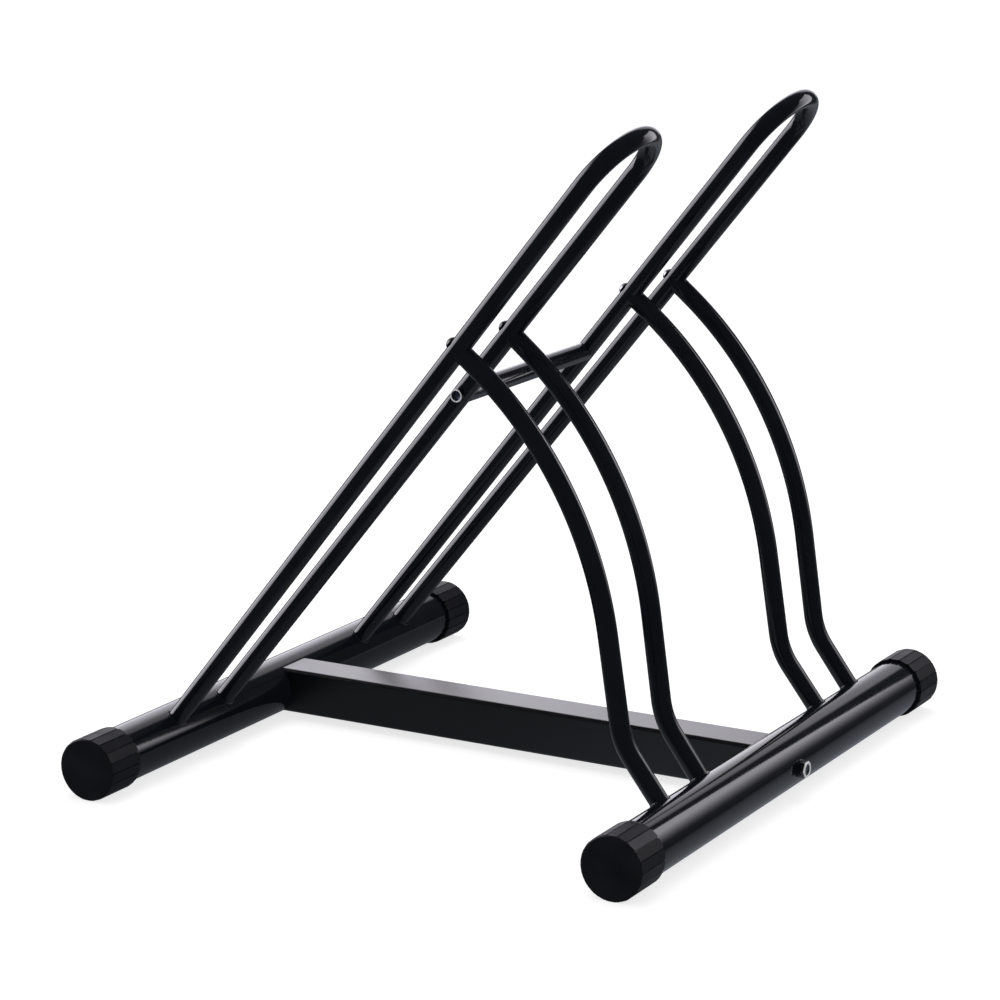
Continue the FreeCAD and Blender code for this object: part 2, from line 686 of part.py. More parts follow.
build_crossbar()
base_shank = ("base_diameter + saddle_thickness + plate_inset + plate_thickness"
              " + nut_height + bolt_overrun")
for name, way in (("entry", -1), ("rear", 1)):
    build_end_plate(f"{name}_end_plate", way)
    build_weld_nut(f"{name}_weld_nut", way)
    build_saddle_washer(f"{name}_saddle_washer", way)
    head = way * (size("base_spacing") / 2 + base_radius + size("saddle_thickness"))
    build_hex_bolt(f"{name}_crossbar_bolt", "base_bolt_flats", "base_bolt_head",
                   "base_bolt_diameter", base_shank,
                   Placement(Vector(0, head, axis_height), Rotation(Vector(1, 0, 0), -90 * way)))

SIDES = (("left", -1), ("right", 1))
for side_name, side in SIDES:
    build_hoop(f"wheel_hoop_{side_name}", side)

seat_plane = rod_radius - size("seat_depth")
insert_top = rod_radius + size("insert_recess")
stay_shank = "rod_diameter - seat_depth + insert_recess + insert_grip"
for side_name, side in SIDES:
    for leg_name, leg in (("outer", side), ("inner", -side)):
        name = f"{side_name}_{leg_name}"
        frame = stay_frame(side, leg)
        build_stay(f"stay_bar_{name}", side, leg)
        build_insert(f"stay_insert_{name}", frame.multiply(Placement(Vector(0, 0, -insert_top), Rotation())))
        build_button_bolt(f"stay_bolt_{name}", stay_shank,
                          frame.multiply(Placement(Vector(0, 0, seat_plane), Rotation())))

build_tie_bar()
for side_name, side in SIDES:
    outward = Rotation(Vector(0, 1, 0), 90 * side)
    insert_at = side * (tie_half() - insert_top)
    head_at = side * (tie_half() + seat_plane)
    build_insert(f"tie_insert_{side_name}", tie_frame().multiply(Placement(Vector(insert_at, 0, 0), outward)))
    build_hex_bolt(f"tie_bolt_{side_name}", "hex_flats", "hex_height", "bolt_diameter", stay_shank,
                   tie_frame().multiply(Placement(Vector(head_at, 0, 0), outward)), dished=True)

doc.recompute()

# ---- checks and export ---------------------------------------------------------------
for item in doc.Objects:
    if "Invalid" in item.State or "Error" in item.State:
        raise RuntimeError(f"{item.Label} did not build: {item.State}")
for part in parts:
    if part.Shape.isNull() or not part.Shape.isValid() or len(part.Shape.Solids) != 1:
        raise RuntimeError(f"{part.Label} is not one sound solid")
for part in parts:
    part.Shape.exportStep(f"parts/{part.Label}.step")
    print(f"{part.Label:28s} {part.Shape.Volume / 1000:9.3f} cm3")
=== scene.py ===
# Two-bike floor rack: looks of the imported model. Metres, +Z up, floor at z = 0, X along
# the base tubes and +Y from the entry side to the stay bars.
import bmesh
import bpy
import math
from mathutils import Matrix, Vector


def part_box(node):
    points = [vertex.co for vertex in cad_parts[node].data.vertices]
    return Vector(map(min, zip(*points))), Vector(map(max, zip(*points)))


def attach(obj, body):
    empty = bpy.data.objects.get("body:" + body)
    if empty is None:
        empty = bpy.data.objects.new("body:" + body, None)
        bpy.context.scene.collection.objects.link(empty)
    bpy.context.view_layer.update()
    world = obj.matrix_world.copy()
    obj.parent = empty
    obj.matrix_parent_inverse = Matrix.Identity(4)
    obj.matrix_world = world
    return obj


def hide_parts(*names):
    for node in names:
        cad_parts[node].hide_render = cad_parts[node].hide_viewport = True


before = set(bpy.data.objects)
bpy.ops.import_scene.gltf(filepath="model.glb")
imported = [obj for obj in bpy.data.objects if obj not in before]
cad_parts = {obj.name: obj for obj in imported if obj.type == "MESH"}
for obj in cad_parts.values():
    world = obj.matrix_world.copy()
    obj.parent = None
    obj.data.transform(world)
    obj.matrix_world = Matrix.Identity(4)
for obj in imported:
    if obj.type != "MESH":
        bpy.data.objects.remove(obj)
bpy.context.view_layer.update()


# ---- base tubes ----------------------------------------------------------------------
# Two drawn steel tubes 48 mm across that lie on the floor side by side, in black powder
# coat. The coat is smooth and fairly glossy, with a faint orange peel.
BASE_RADIUS = 0.024
BASE_LENGTH = 0.588
BASE_SPACING = 0.490
AXIS_HEIGHT = 0.0265
BASE_SIDES = 144
BASE_RING_SPACING = 0.012
ENTRY_AXIS = Vector((0, -BASE_SPACING / 2, AXIS_HEIGHT))
REAR_AXIS = Vector((0, BASE_SPACING / 2, AXIS_HEIGHT))
ALONG_BASE = Vector((1, 0, 0))
COAT_BLACK = Vector((0.0042, 0.0054, 0.0086))
COAT_WORN = Vector((0.0060, 0.0074, 0.0112))
DUST_ON_COAT = (0.16, 0.16, 0.165)
# nearly all values of a noise lie between these two
NOISE_LOW, NOISE_HIGH = 0.3, 0.7
FLOAT, VECTOR = "NodeSocketFloat", "NodeSocketVector"
GEOMETRY, MATERIAL = "NodeSocketGeometry", "NodeSocketMaterial"


def add_node(tree, kind, settings=None, **inputs):
    """A node with its properties and its inputs; an input is a value or another socket."""
    node = tree.nodes.new(kind)
    for name, value in (settings or {}).items():
        setattr(node, name, value)
    for name, value in inputs.items():
        numbered = name[0] == "i" and name[1:].isdigit()
        socket = node.inputs[int(name[1:]) if numbered else name.replace("_", " ")]
        if isinstance(value, bpy.types.NodeSocket):
            tree.links.new(value, socket)
        else:
            socket.default_value = value
    return node


def math_node(tree, operation, first, second=0.0, third=0.0):
    inputs = {"i0": first, "i1": second}
    if operation == "MULTIPLY_ADD":
        inputs["i2"] = third
    return add_node(tree, "ShaderNodeMath", {"operation": operation}, **inputs).outputs[0]


def product(tree, first, *others):
    for other in others:
        first = math_node(tree, "MULTIPLY", first, other)
    return first


def smooth_step(tree, value, low, high):
    return add_node(tree, "ShaderNodeMapRange", {"interpolation_type": "SMOOTHSTEP"},
                    Value=value, From_Min=low, From_Max=high).outputs[0]


def wandering(tree, noise, low, high):
    """A number that goes from low to high with a noise."""
    return add_node(tree, "ShaderNodeMapRange", Value=noise, From_Min=NOISE_LOW,
                    From_Max=NOISE_HIGH, To_Min=low, To_Max=high).outputs[0]


def noise_at(tree, place, scale, detail, **more):
    return add_node(tree, "ShaderNodeTexNoise", Vector=place, Scale=scale, Detail=detail,
                    **more).outputs[0]


def own_place(tree):
    return add_node(tree, "ShaderNodeTexCoord").outputs["Object"]


def new_group(name, kind, inputs, outputs):
    """A node group with named inputs and outputs; an input is a name, a type and a value."""
    tree = bpy.data.node_groups.new(name, kind)
    for label, socket, value in inputs:
        item = tree.interface.new_socket(label, in_out="INPUT", socket_type=socket)
        if value is not None:
            item.default_value = value
    for label, socket in outputs:
        tree.interface.new_socket(label, in_out="OUTPUT", socket_type=socket)
    given = tree.nodes.new("NodeGroupInput").outputs
    return tree, given, tree.nodes.new("NodeGroupOutput").inputs


def orange_peel_group():
    """Low, close waves of a baked coat: a height, and a slow drift of its gloss."""
    tree, given, out = new_group(
        "orange peel", "ShaderNodeTree",
        [("Scale", FLOAT, 600.0), ("Drift scale", FLOAT, 18.0)],
        [("Height", FLOAT), ("Drift", FLOAT)])
    place = own_place(tree)
    tree.links.new(noise_at(tree, place, given["Scale"], 2.0, Roughness=0.45), out["Height"])
    tree.links.new(noise_at(tree, place, given["Drift scale"], 4.0, Roughness=0.6), out["Drift"])
    return tree


def dust_group():
    """Fine dust that settles on faces that look up, thin and in small flecks."""
    upward_range, fleck_range, cloud_range = (0.35, 0.95), (0.55, 0.8), (0.35, 0.75)
    cloud_scale = 40.0
    tree, given, out = new_group(
        "settled dust", "ShaderNodeTree",
        [("Amount", FLOAT, 0.5), ("Fleck scale", FLOAT, 900.0)], [("Mask", FLOAT)])
    place = own_place(tree)
    normal = add_node(tree, "ShaderNodeNewGeometry").outputs["Normal"]
    facing = add_node(tree, "ShaderNodeSeparateXYZ", Vector=normal).outputs["Z"]
    flecks = noise_at(tree, place, given["Fleck scale"], 3.0)
    clouds = noise_at(tree, place, cloud_scale, 3.0)
    mask = product(tree, smooth_step(tree, flecks, *fleck_range),
                   smooth_step(tree, clouds, *cloud_range),
                   smooth_step(tree, facing, *upward_range), given["Amount"])
    tree.links.new(mask, out["Mask"])
    return tree


orange_peel = orange_peel_group()
settled_dust = dust_group()


def mixed_colour(tree, factor, first, second):
    mix = add_node(tree, "ShaderNodeMix", {"data_type": "RGBA"}, Factor=factor)
    for socket, value in ((mix.inputs[6], first), (mix.inputs[7], second)):
        if isinstance(value, bpy.types.NodeSocket):
            tree.links.new(value, socket)
        else:
            socket.default_value = (*value, 1.0)
    return mix.outputs[2]


def new_material(name):
    material = bpy.data.materials.new(name)
    material.use_nodes = True
    tree = material.node_tree
    return material, tree, tree.nodes["Principled BSDF"]


def finish_shader(tree, shader, colour, roughness, bump, **constants):
    """Link what varies over the surface, and set what is the same all over it."""
    for socket, value in (("Base Color", colour), ("Roughness", roughness), ("Normal", bump)):
        tree.links.new(value, shader.inputs[socket])
    for name, value in constants.items():
        shader.inputs[name.replace("_", " ")].default_value = value


def powder_coat_material(name, smoothest, roughest, shade=1.0, chalk=0.0):
    """Baked black powder coat with slight orange peel; a chalky one is paler at a low angle."""
    material, tree, shader = new_material(name)
    peel = add_node(tree, "ShaderNodeGroup", {"node_tree": orange_peel},
                    Scale=620.0, Drift_scale=16.0).outputs
    dust = add_node(tree, "ShaderNodeGroup", {"node_tree": settled_dust},
                    Amount=0.06, Fleck_scale=1100.0).outputs["Mask"]
    black = mixed_colour(tree, smooth_step(tree, peel["Drift"], 0.35, NOISE_HIGH),
                         tuple(COAT_BLACK * shade), tuple(COAT_WORN * shade))
    colour = mixed_colour(tree, dust, black, DUST_ON_COAT)
    roughness = wandering(tree, peel["Drift"], smoothest, roughest)
    roughness = math_node(tree, "MULTIPLY_ADD", dust, 0.5, roughness)
    bump = add_node(tree, "ShaderNodeBump", Strength=0.05, Distance=0.0002, Height=peel["Height"])
    finish_shader(tree, shader, colour, roughness, bump.outputs[0], Specular_IOR_Level=0.5,
                  Sheen_Weight=chalk, Sheen_Roughness=0.25, Sheen_Tint=(0.98, 0.97, 1.0, 1.0),
                  Coat_Weight=0.45 * chalk, Coat_Roughness=0.22)
    return material


powder_coat = powder_coat_material("black powder coat", 0.08, 0.12)


def vector_node(tree, operation, first, second=(0, 0, 0)):
    node = add_node(tree, "ShaderNodeVectorMath", {"operation": operation}, i0=first, i1=second)
    return node.outputs["Value" if operation in ("DOT_PRODUCT", "LENGTH") else "Vector"]


def scaled_vector(tree, first, factor):
    return add_node(tree, "ShaderNodeVectorMath", {"operation": "SCALE"},
                    i0=first, Scale=factor).outputs["Vector"]


def saddle_group():
    """Saddle cut: what lies inside another tube is pushed out along the rod to its surface."""
    tree, given, out = new_group(
        "saddle cut", "GeometryNodeTree",
        [("Geometry", GEOMETRY, None), ("Joint", VECTOR, (0, 0, 0)),
         ("Rod direction", VECTOR, (0, 0, 1)), ("Tube direction", VECTOR, (1, 0, 0)),
         ("Tube radius", FLOAT, 0.0), ("Reach", FLOAT, 0.03)],
        [("Geometry", GEOMETRY)])

    def square_off(first):
        along = vector_node(tree, "DOT_PRODUCT", first, given["Tube direction"])
        shift = scaled_vector(tree, given["Tube direction"], along)
        return vector_node(tree, "SUBTRACT", first, shift)

    place = add_node(tree, "GeometryNodeInputPosition").outputs[0]
    from_joint = vector_node(tree, "SUBTRACT", place, given["Joint"])
    off_axis = square_off(from_joint)
    heading = square_off(given["Rod direction"])
    square = vector_node(tree, "DOT_PRODUCT", heading, heading)
    half = vector_node(tree, "DOT_PRODUCT", off_axis, heading)
    outside = math_node(tree, "SUBTRACT", vector_node(tree, "DOT_PRODUCT", off_axis, off_axis),
                        product(tree, given["Tube radius"], given["Tube radius"]))
    under_root = math_node(tree, "SUBTRACT", product(tree, half, half),
                           product(tree, square, outside))
    root = math_node(tree, "SQRT", math_node(tree, "MAXIMUM", under_root, 0.0))
    push = math_node(tree, "DIVIDE", math_node(tree, "SUBTRACT", root, half), square)
    inside = math_node(tree, "LESS_THAN", outside, 0.0)
    near = math_node(tree, "LESS_THAN", vector_node(tree, "LENGTH", from_joint), given["Reach"])
    moved = add_node(tree, "GeometryNodeSetPosition", Geometry=given["Geometry"],
                     Selection=product(tree, inside, near),
                     Offset=scaled_vector(tree, given["Rod direction"], push))
    tree.links.new(moved.outputs[0], out["Geometry"])
    return tree


def seat_group():
    """Pressed seat: the wall is flattened to a height over the axis and runs out smoothly."""
    tree, given, out = new_group(
        "pressed seat", "GeometryNodeTree",
        [("Geometry", GEOMETRY, None), ("Centre", VECTOR, (0, 0, 0)),
         ("Outward", VECTOR, (0, 0, 1)), ("Seat height", FLOAT, 0.0076),
         ("Tube radius", FLOAT, 0.0082), ("Flat radius", FLOAT, 0.0062),
         ("Run-out", FLOAT, 0.009), ("Reach", FLOAT, 0.03)],
        [("Geometry", GEOMETRY)])
    place = add_node(tree, "GeometryNodeInputPosition").outputs[0]
    away = vector_node(tree, "SUBTRACT", place, given["Centre"])
    height = vector_node(tree, "DOT_PRODUCT", away, given["Outward"])
    distance = vector_node(tree, "LENGTH", away)
    square = math_node(tree, "SUBTRACT", product(tree, distance, distance),
                       product(tree, height, height))
    sideways = math_node(tree, "SQRT", math_node(tree, "MAXIMUM", square, 0.0))
    rise = smooth_step(tree, sideways, given["Flat radius"],
                       math_node(tree, "ADD", given["Flat radius"], given["Run-out"]))
    depth = math_node(tree, "SUBTRACT", given["Tube radius"], given["Seat height"])
    limit = math_node(tree, "MULTIPLY_ADD", rise, depth, given["Seat height"])
    excess = math_node(tree, "MAXIMUM", math_node(tree, "SUBTRACT", height, limit), 0.0)
    near = math_node(tree, "LESS_THAN", distance, given["Reach"])
    sink = scaled_vector(tree, given["Outward"], product(tree, excess, -1.0, near))
    moved = add_node(tree, "GeometryNodeSetPosition", Geometry=given["Geometry"], Offset=sink)
    tree.links.new(moved.outputs[0], out["Geometry"])
    return tree


SEATS_PER_TUBE = 3
MERGE_DISTANCE = 0.00002
saddle_cut = saddle_group()
pressed_seat = seat_group()


def bent_tube_tree():
    """A tube drawn along a bent path, saddle-cut at both ends and pressed at bolt seats."""
    fields = [("Path", GEOMETRY, None), ("Tube radius", FLOAT, 0.0082),
              ("Ring spacing", FLOAT, 0.002), ("Sides", "NodeSocketInt", 40)]
    for end in ("Start", "Finish"):
        fields += [(end + " joint", VECTOR, (0, 0, 0)), (end + " direction", VECTOR, (0, 0, 1)),
                   (end + " tube direction", VECTOR, (1, 0, 0)),
                   (end + " tube radius", FLOAT, 0.0)]
    fields.append(("Seat height", FLOAT, 0.0076))
    for number in range(1, SEATS_PER_TUBE + 1):
        fields += [(f"Seat {number} centre", VECTOR, (0, 0, 9)),
                   (f"Seat {number} outward", VECTOR, (0, 0, 1))]
    fields.append(("Finish coat", MATERIAL, None))
    tree, given, out = new_group("bent tube", "GeometryNodeTree", fields,
                                 [("Geometry", GEOMETRY)])
    rings = add_node(tree, "GeometryNodeResampleCurve", {"mode": "LENGTH"}, Curve=given["Path"],
                     Length=given["Ring spacing"]).outputs[0]
    section = add_node(tree, "GeometryNodeCurvePrimitiveCircle", Resolution=given["Sides"],
                       Radius=given["Tube radius"]).outputs[0]
    shape = add_node(tree, "GeometryNodeCurveToMesh", Curve=rings, Profile_Curve=section,
                     Fill_Caps=True).outputs[0]
    for end in ("Start", "Finish"):
        shape = add_node(tree, "GeometryNodeGroup", {"node_tree": saddle_cut}, Geometry=shape,
                         Joint=given[end + " joint"], Rod_direction=given[end + " direction"],
                         Tube_direction=given[end + " tube direction"],
                         Tube_radius=given[end + " tube radius"]).outputs[0]
    for number in range(1, SEATS_PER_TUBE + 1):
        shape = add_node(tree, "GeometryNodeGroup", {"node_tree": pressed_seat}, Geometry=shape,
                         Centre=given[f"Seat {number} centre"],
                         Outward=given[f"Seat {number} outward"],
                         Seat_height=given["Seat height"],
                         Tube_radius=given["Tube radius"]).outputs[0]
    merged = add_node(tree, "GeometryNodeMergeByDistance", Geometry=shape,
                      Distance=MERGE_DISTANCE).outputs[0]
    real = add_node(tree, "GeometryNodeRealizeInstances", Geometry=merged).outputs[0]
    coated = add_node(tree, "GeometryNodeSetMaterial", Geometry=real,
                      Material=given["Finish coat"])
    tree.links.new(coated.outputs[0], out["Geometry"])
    return tree


bent_tube = bent_tube_tree()


def path_object(name, points, closed=False):
    curve = bpy.data.curves.new(name + " path", "CURVE")
    curve.dimensions = "3D"
    spline = curve.splines.new("POLY")
    spline.points.add(len(points) - 1)
    for place, point in zip(spline.points, points):
        place.co = (*point, 1.0)
    spline.use_cyclic_u = closed
    holder = bpy.data.objects.new(name + " path", curve)
    bpy.context.scene.collection.objects.link(holder)
    return holder


def in_scene(name, mesh):
    piece = bpy.data.objects.new(name, mesh)
    bpy.context.scene.collection.objects.link(piece)
    return piece


def grown_mesh(name, source, tree, **inputs):
    """Run a geometry tree on an object, keep the result as a plain mesh piece."""
    modifier = source.modifiers.new("form", "NODES")
    modifier.node_group = tree
    for item in tree.interface.items_tree:
        if item.item_type == "SOCKET" and item.in_out == "INPUT":
            key = item.name.lower().replace(" ", "_")
            if key in inputs:
                value = inputs.pop(key)
                modifier[item.identifier] = list(value) if isinstance(value, Vector) else value
    if inputs:
        raise ValueError(f"{name}: no input named {sorted(inputs)}")
    source.update_tag()
    bpy.context.view_layer.update()
    depsgraph = bpy.context.evaluated_depsgraph_get()
    mesh = bpy.data.meshes.new_from_object(source.evaluated_get(depsgraph))
    source.modifiers.remove(modifier)
    bpy.data.objects.remove(source)
    mesh.name = name
    shell = bmesh.new()
    shell.from_mesh(mesh)
    bmesh.ops.recalc_face_normals(shell, faces=shell.faces)
    shell.to_mesh(mesh)
    shell.free()
    mesh.shade_smooth()
    mesh.set_sharp_from_angle(angle=math.radians(35))
    return in_scene(name, mesh)


def dress(piece, *nodes, slot="powder_coat"):
    """A new piece rides with the rack and stands for its solids, which are hidden."""
    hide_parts(*nodes)
    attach(piece, "root")


for name, axis in (("entry_base_tube", ENTRY_AXIS), ("rear_base_tube", REAR_AXIS)):
    half = ALONG_BASE * (BASE_LENGTH / 2)
    tube = grown_mesh(name + "_coated", path_object(name, [axis - half, axis + half]), bent_tube,
                      tube_radius=BASE_RADIUS, ring_spacing=BASE_RING_SPACING, sides=BASE_SIDES,
                      finish_coat=powder_coat)
    dress(tube, name)


# ---- wheel hoops ---------------------------------------------------------------------
# Each hoop is one length of 16 mm steel tube, bent round at the top, that leans over the
# rack. The wall is pressed flat under every bolt head, and both feet are welded on.
ROD_RADIUS = 0.0082
ROD_SIDES = 44
ROD_RING_SPACING = 0.0015
LEAN = math.radians(51)
HOOP_OFFSET = 0.149
FOOT_HALF = 0.0358
BEND_RADIUS = 0.0446
BEND_STEPS = 64
HOOP_REACH = 0.647
STAY_HEIGHT = 0.4705
TIE_HEIGHT = 0.400
SEAT_DEPTH = 0.0006
UP_HOOP = Vector((0, math.cos(LEAN), math.sin(LEAN)))
OFF_HOOP = Vector((0, -math.sin(LEAN), math.cos(LEAN)))
FOOT_TO_CENTRE = math.hypot(FOOT_HALF, HOOP_REACH)
SPLAY = math.asin(BEND_RADIUS / FOOT_TO_CENTRE) - math.asin(FOOT_HALF / FOOT_TO_CENTRE)
# how far from a base tube's axis a rod's outermost line meets the tube
ROD_ENTRY = math.sqrt(BASE_RADIUS ** 2 - ROD_RADIUS ** 2)
SIDES = (("left", -1), ("right", 1))


def on_hoop(side, across, height):
    """A point in the plane of a hoop."""
    return ENTRY_AXIS + Vector((side * HOOP_OFFSET + across, 0, 0)) + UP_HOOP * height


def leg_half(height):
    return FOOT_HALF + height * math.tan(SPLAY)


def leg_direction(leg):
    return (UP_HOOP + ALONG_BASE * (leg * math.tan(SPLAY))).normalized()


def hoop_path(side):
    points = [on_hoop(side, leg_half(ROD_ENTRY), ROD_ENTRY)]
    for step in range(BEND_STEPS + 1):
        angle = -SPLAY + (math.pi + 2 * SPLAY) * step / BEND_STEPS
        points.append(on_hoop(side, BEND_RADIUS * math.cos(angle),
                              HOOP_REACH + BEND_RADIUS * math.sin(angle)))
    return points + [on_hoop(side, -leg_half(ROD_ENTRY), ROD_ENTRY)]


def rod(name, points, start, finish, **seats):
    """A coated rod; each end is its joint and direction, and the tube's direction and radius."""
    ends = {}
    for end, values in (("start", start), ("finish", finish)):
        for label, value in zip(("joint", "direction", "tube_direction", "tube_radius"), values):
            ends[f"{end}_{label}"] = value
    piece = grown_mesh(name + "_coated", path_object(name, points), bent_tube,
                       tube_radius=ROD_RADIUS, ring_spacing=ROD_RING_SPACING, sides=ROD_SIDES,
                       seat_height=ROD_RADIUS - SEAT_DEPTH, finish_coat=powder_coat,
                       **ends, **seats)
    dress(piece, name)


for side_name, side in SIDES:
    stay_half, tie_leg_half = leg_half(STAY_HEIGHT), leg_half(TIE_HEIGHT)
    rod(f"wheel_hoop_{side_name}", hoop_path(side),
        (on_hoop(side, FOOT_HALF, 0), leg_direction(1), ALONG_BASE, BASE_RADIUS),
        (on_hoop(side, -FOOT_HALF, 0), leg_direction(-1), ALONG_BASE, BASE_RADIUS),
        seat_1_centre=on_hoop(side, stay_half, STAY_HEIGHT), seat_1_outward=OFF_HOOP,
        seat_2_centre=on_hoop(side, -stay_half, STAY_HEIGHT), seat_2_outward=OFF_HOOP,
        seat_3_centre=on_hoop(side, -side * tie_leg_half, TIE_HEIGHT),
        seat_3_outward=ALONG_BASE * side)


# ---- stay bars -----------------------------------------------------------------------
# Four bent tubes carry the hoops. Each leaves a hoop leg square to it, bows over, turns
# back near its foot and is welded on the rear base tube. Its top end is bolted on.
STAY_FOOT_HALF = {"outer": 0.037, "inner": 0.0335}
STAY_LEAD = 0.021
STAY_RUN = 0.070
KICK_RADIUS = 0.061
FOOT_TURN = math.radians(14)
FOOT_LENGTH = 0.064
# a rod's drawn path starts this far from the axis of the leg that it meets
LEG_TRIM = 0.002
COPE_RADIUS = ROD_RADIUS + 0.0001
FOOT_SINK = 0.001
STEEPEST_BOW = math.radians(85)
HALVINGS = 60
LEGS = [(f"{side_name}_{leg_name}", side, leg, STAY_FOOT_HALF[leg_name])
        for side_name, side in SIDES for leg_name, leg in (("outer", side), ("inner", -side))]


def bent_path(start, heading, inward, schedule):
    """Points of a bent tube from its bending schedule of straights and turns in one plane."""
    points = [start.copy()]
    place = start.copy()
    for length, radius, turn in schedule:
        place = place + heading * length
        points.append(place.copy())
        if not turn:
            continue
        centre = place + inward * math.copysign(radius, turn)
        steps = max(8, round(abs(math.degrees(turn))))
        begin = place - centre
        first_heading, first_inward = heading, inward
        for step in range(1, steps + 1):
            angle = abs(turn) * step / steps
            points.append(centre + begin * math.cos(angle)
                          + first_heading * (radius * math.sin(angle)))
        place = points[-1].copy()
        heading = first_heading * math.cos(turn) + first_inward * math.sin(turn)
        inward = first_inward * math.cos(turn) - first_heading * math.sin(turn)
    return points


def bow_of(span_in, span_down):
    """The bow's radius and turn that bring the foot onto the rear tube's axis."""
    def gap(turn):
        kick_in = (math.cos(FOOT_TURN) - math.cos(turn)) * KICK_RADIUS
        kick_down = (math.sin(turn) - math.sin(FOOT_TURN)) * KICK_RADIUS
        across = STAY_RUN * math.sin(turn) + kick_in + FOOT_LENGTH * math.sin(FOOT_TURN)
        along = STAY_RUN * math.cos(turn) + kick_down + FOOT_LENGTH * math.cos(FOOT_TURN)
        return span_in - across, span_down - STAY_LEAD - along

    low, high = FOOT_TURN, STEEPEST_BOW
    for _ in range(HALVINGS):
        turn = (low + high) / 2
        across, along = gap(turn)
        if across > along * math.tan(turn / 2):
            low = turn
        else:
            high = turn
    return gap(turn)[1] / math.sin(turn), turn


def stay_path(side, leg, foot_half):
    top = on_hoop(side, leg * leg_half(STAY_HEIGHT), STAY_HEIGHT)
    tilt = math.atan((leg_half(STAY_HEIGHT) - foot_half) / (BASE_SPACING * math.sin(LEAN)))
    down = (-OFF_HOOP * math.cos(tilt) - ALONG_BASE * (leg * math.sin(tilt))).normalized()
    foot = REAR_AXIS + Vector((side * HOOP_OFFSET + leg * foot_half, 0, 0))
    radius, turn = bow_of(-(foot - top).dot(UP_HOOP), -(foot - top).dot(OFF_HOOP))
    schedule = [(STAY_LEAD - LEG_TRIM, radius, turn), (STAY_RUN, KICK_RADIUS, FOOT_TURN - turn),
                (FOOT_LENGTH - ROD_ENTRY + FOOT_SINK, 0, 0)]
    return bent_path(top + down * LEG_TRIM, down, -UP_HOOP, schedule), top, down, foot


stay_feet = []
for label, side, leg, foot_half in LEGS:
    points, top, down, foot = stay_path(side, leg, foot_half)
    up_foot = (points[-2] - points[-1]).normalized()
    stay_feet.append((f"stay_weld_{label}", foot, up_foot))
    rod(f"stay_bar_{label}", points, (top, down, leg_direction(leg), COPE_RADIUS),
        (foot, up_foot, ALONG_BASE, BASE_RADIUS))


# ---- tie bar -------------------------------------------------------------------------
# A short tube that spaces the two hoops, saddle-cut at both ends and bolted through the
# inner legs.
TIE_HALF = ALONG_BASE * (HOOP_OFFSET - leg_half(TIE_HEIGHT))
TIE_MIDDLE = ENTRY_AXIS + UP_HOOP * TIE_HEIGHT
tie_left, tie_right = TIE_MIDDLE - TIE_HALF, TIE_MIDDLE + TIE_HALF
rod("tie_bar", [tie_left + ALONG_BASE * LEG_TRIM, tie_right - ALONG_BASE * LEG_TRIM],
    (tie_left, ALONG_BASE, leg_direction(1), COPE_RADIUS),
    (tie_right, -ALONG_BASE, leg_direction(-1), COPE_RADIUS))


# ---- welds ---------------------------------------------------------------------------
# A fillet weld runs round each foot of the hoops and stay bars, in small overlapping
# ripples, and is coated over with the tubes.
WELD_STEPS = 72
BEAD_SIDES = 12


def weld_tree():
    """A rippled bead along a path; its width wanders a little, differently for each seed."""
    tree, given, out = new_group(
        "weld bead", "GeometryNodeTree",
        [("Path", GEOMETRY, None), ("Bead radius", FLOAT, 0.0013), ("Ring spacing", FLOAT, 0.0003),
         ("Ripple pitch", FLOAT, 0.0016), ("Ripple height", FLOAT, 0.10),
         ("Ripple slope", FLOAT, 0.6), ("Least width", FLOAT, 0.68), ("Width wander", FLOAT, 0.5),
         ("Wander scale", FLOAT, 260.0), ("Seed", FLOAT, 0.0), ("Finish coat", MATERIAL, None)],
        [("Geometry", GEOMETRY)])
    path = add_node(tree, "GeometryNodeResampleCurve", {"mode": "LENGTH"}, Curve=given["Path"],
                    Length=given["Ring spacing"]).outputs[0]
    length = add_node(tree, "GeometryNodeSplineParameter").outputs["Length"]
    phase = math_node(tree, "FRACT", math_node(tree, "DIVIDE", length, given["Ripple pitch"]))
    ripple = product(tree, math_node(tree, "POWER", phase, given["Ripple slope"]),
                     given["Ripple height"])
    wander = add_node(tree, "ShaderNodeTexNoise", {"noise_dimensions": "4D"}, W=given["Seed"],
                      Scale=given["Wander scale"], Detail=1.0).outputs[0]
    width = math_node(tree, "MULTIPLY_ADD", wander, given["Width wander"], given["Least width"])
    width = math_node(tree, "ADD", width, ripple)
    path = add_node(tree, "GeometryNodeSetCurveRadius", Curve=path, Radius=width).outputs[0]
    section = add_node(tree, "GeometryNodeCurvePrimitiveCircle", Resolution=BEAD_SIDES,
                       Radius=given["Bead radius"]).outputs[0]
    shape = add_node(tree, "GeometryNodeCurveToMesh", Curve=path, Profile_Curve=section,
                     Scale=width).outputs[0]
    real = add_node(tree, "GeometryNodeRealizeInstances", Geometry=shape).outputs[0]
    coated = add_node(tree, "GeometryNodeSetMaterial", Geometry=real,
                      Material=given["Finish coat"])
    tree.links.new(coated.outputs[0], out["Geometry"])
    return tree


weld_bead = weld_tree()


